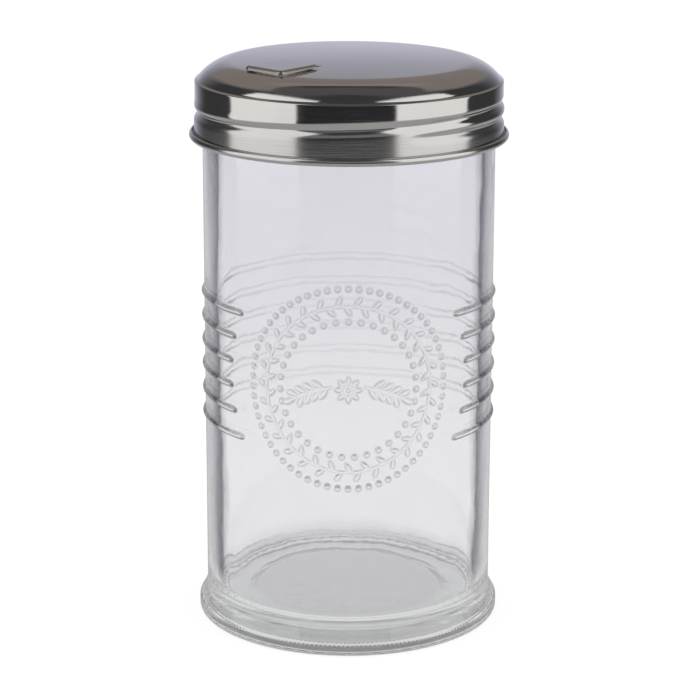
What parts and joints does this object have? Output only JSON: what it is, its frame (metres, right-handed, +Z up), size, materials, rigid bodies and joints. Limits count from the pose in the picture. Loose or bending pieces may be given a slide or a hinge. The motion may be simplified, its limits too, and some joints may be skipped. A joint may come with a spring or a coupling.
{
  "type": "sugar dispenser",
  "caption": "Clear glass sugar dispenser with ribbed sides, a stamped steel screw lid and a small hinged pouring flap in its domed top.",
  "frame": {"origin": "on the table under the middle of the jar's foot", "axes": "+Z up; -Y is the bare front of the jar, where the ribs stop; the flap lies 44 degrees round from the front towards -X"},
  "size_m": [0.0758, 0.0758, 0.137],
  "materials": {
    "clear_glass": "clear pressed glass, polished",
    "lid_steel": "stainless sheet, polished",
    "flap_steel": "stainless sheet, polished",
    "pin_steel": "drawn stainless wire"
  },
  "bodies": {
    "jar": {"glass_jar": "clear_glass"},
    "lid": {"lid_shell": "lid_steel", "hinge_pin": "pin_steel"},
    "flap": {"flap": "flap_steel"}
  },
  "joints": [
    {"name": "lid_lift", "type": "slide", "parent": "jar", "child": "lid", "axis": [0, 0, 1], "range_m": [0, 0.025]},
    {"name": "flap_hinge", "type": "hinge", "parent": "lid", "child": "flap", "pos_m": [-0.01056, -0.01093, 0.13451], "axis": [-0.7193, 0.6947, 0], "range_deg": [0, 60]}
  ]
}
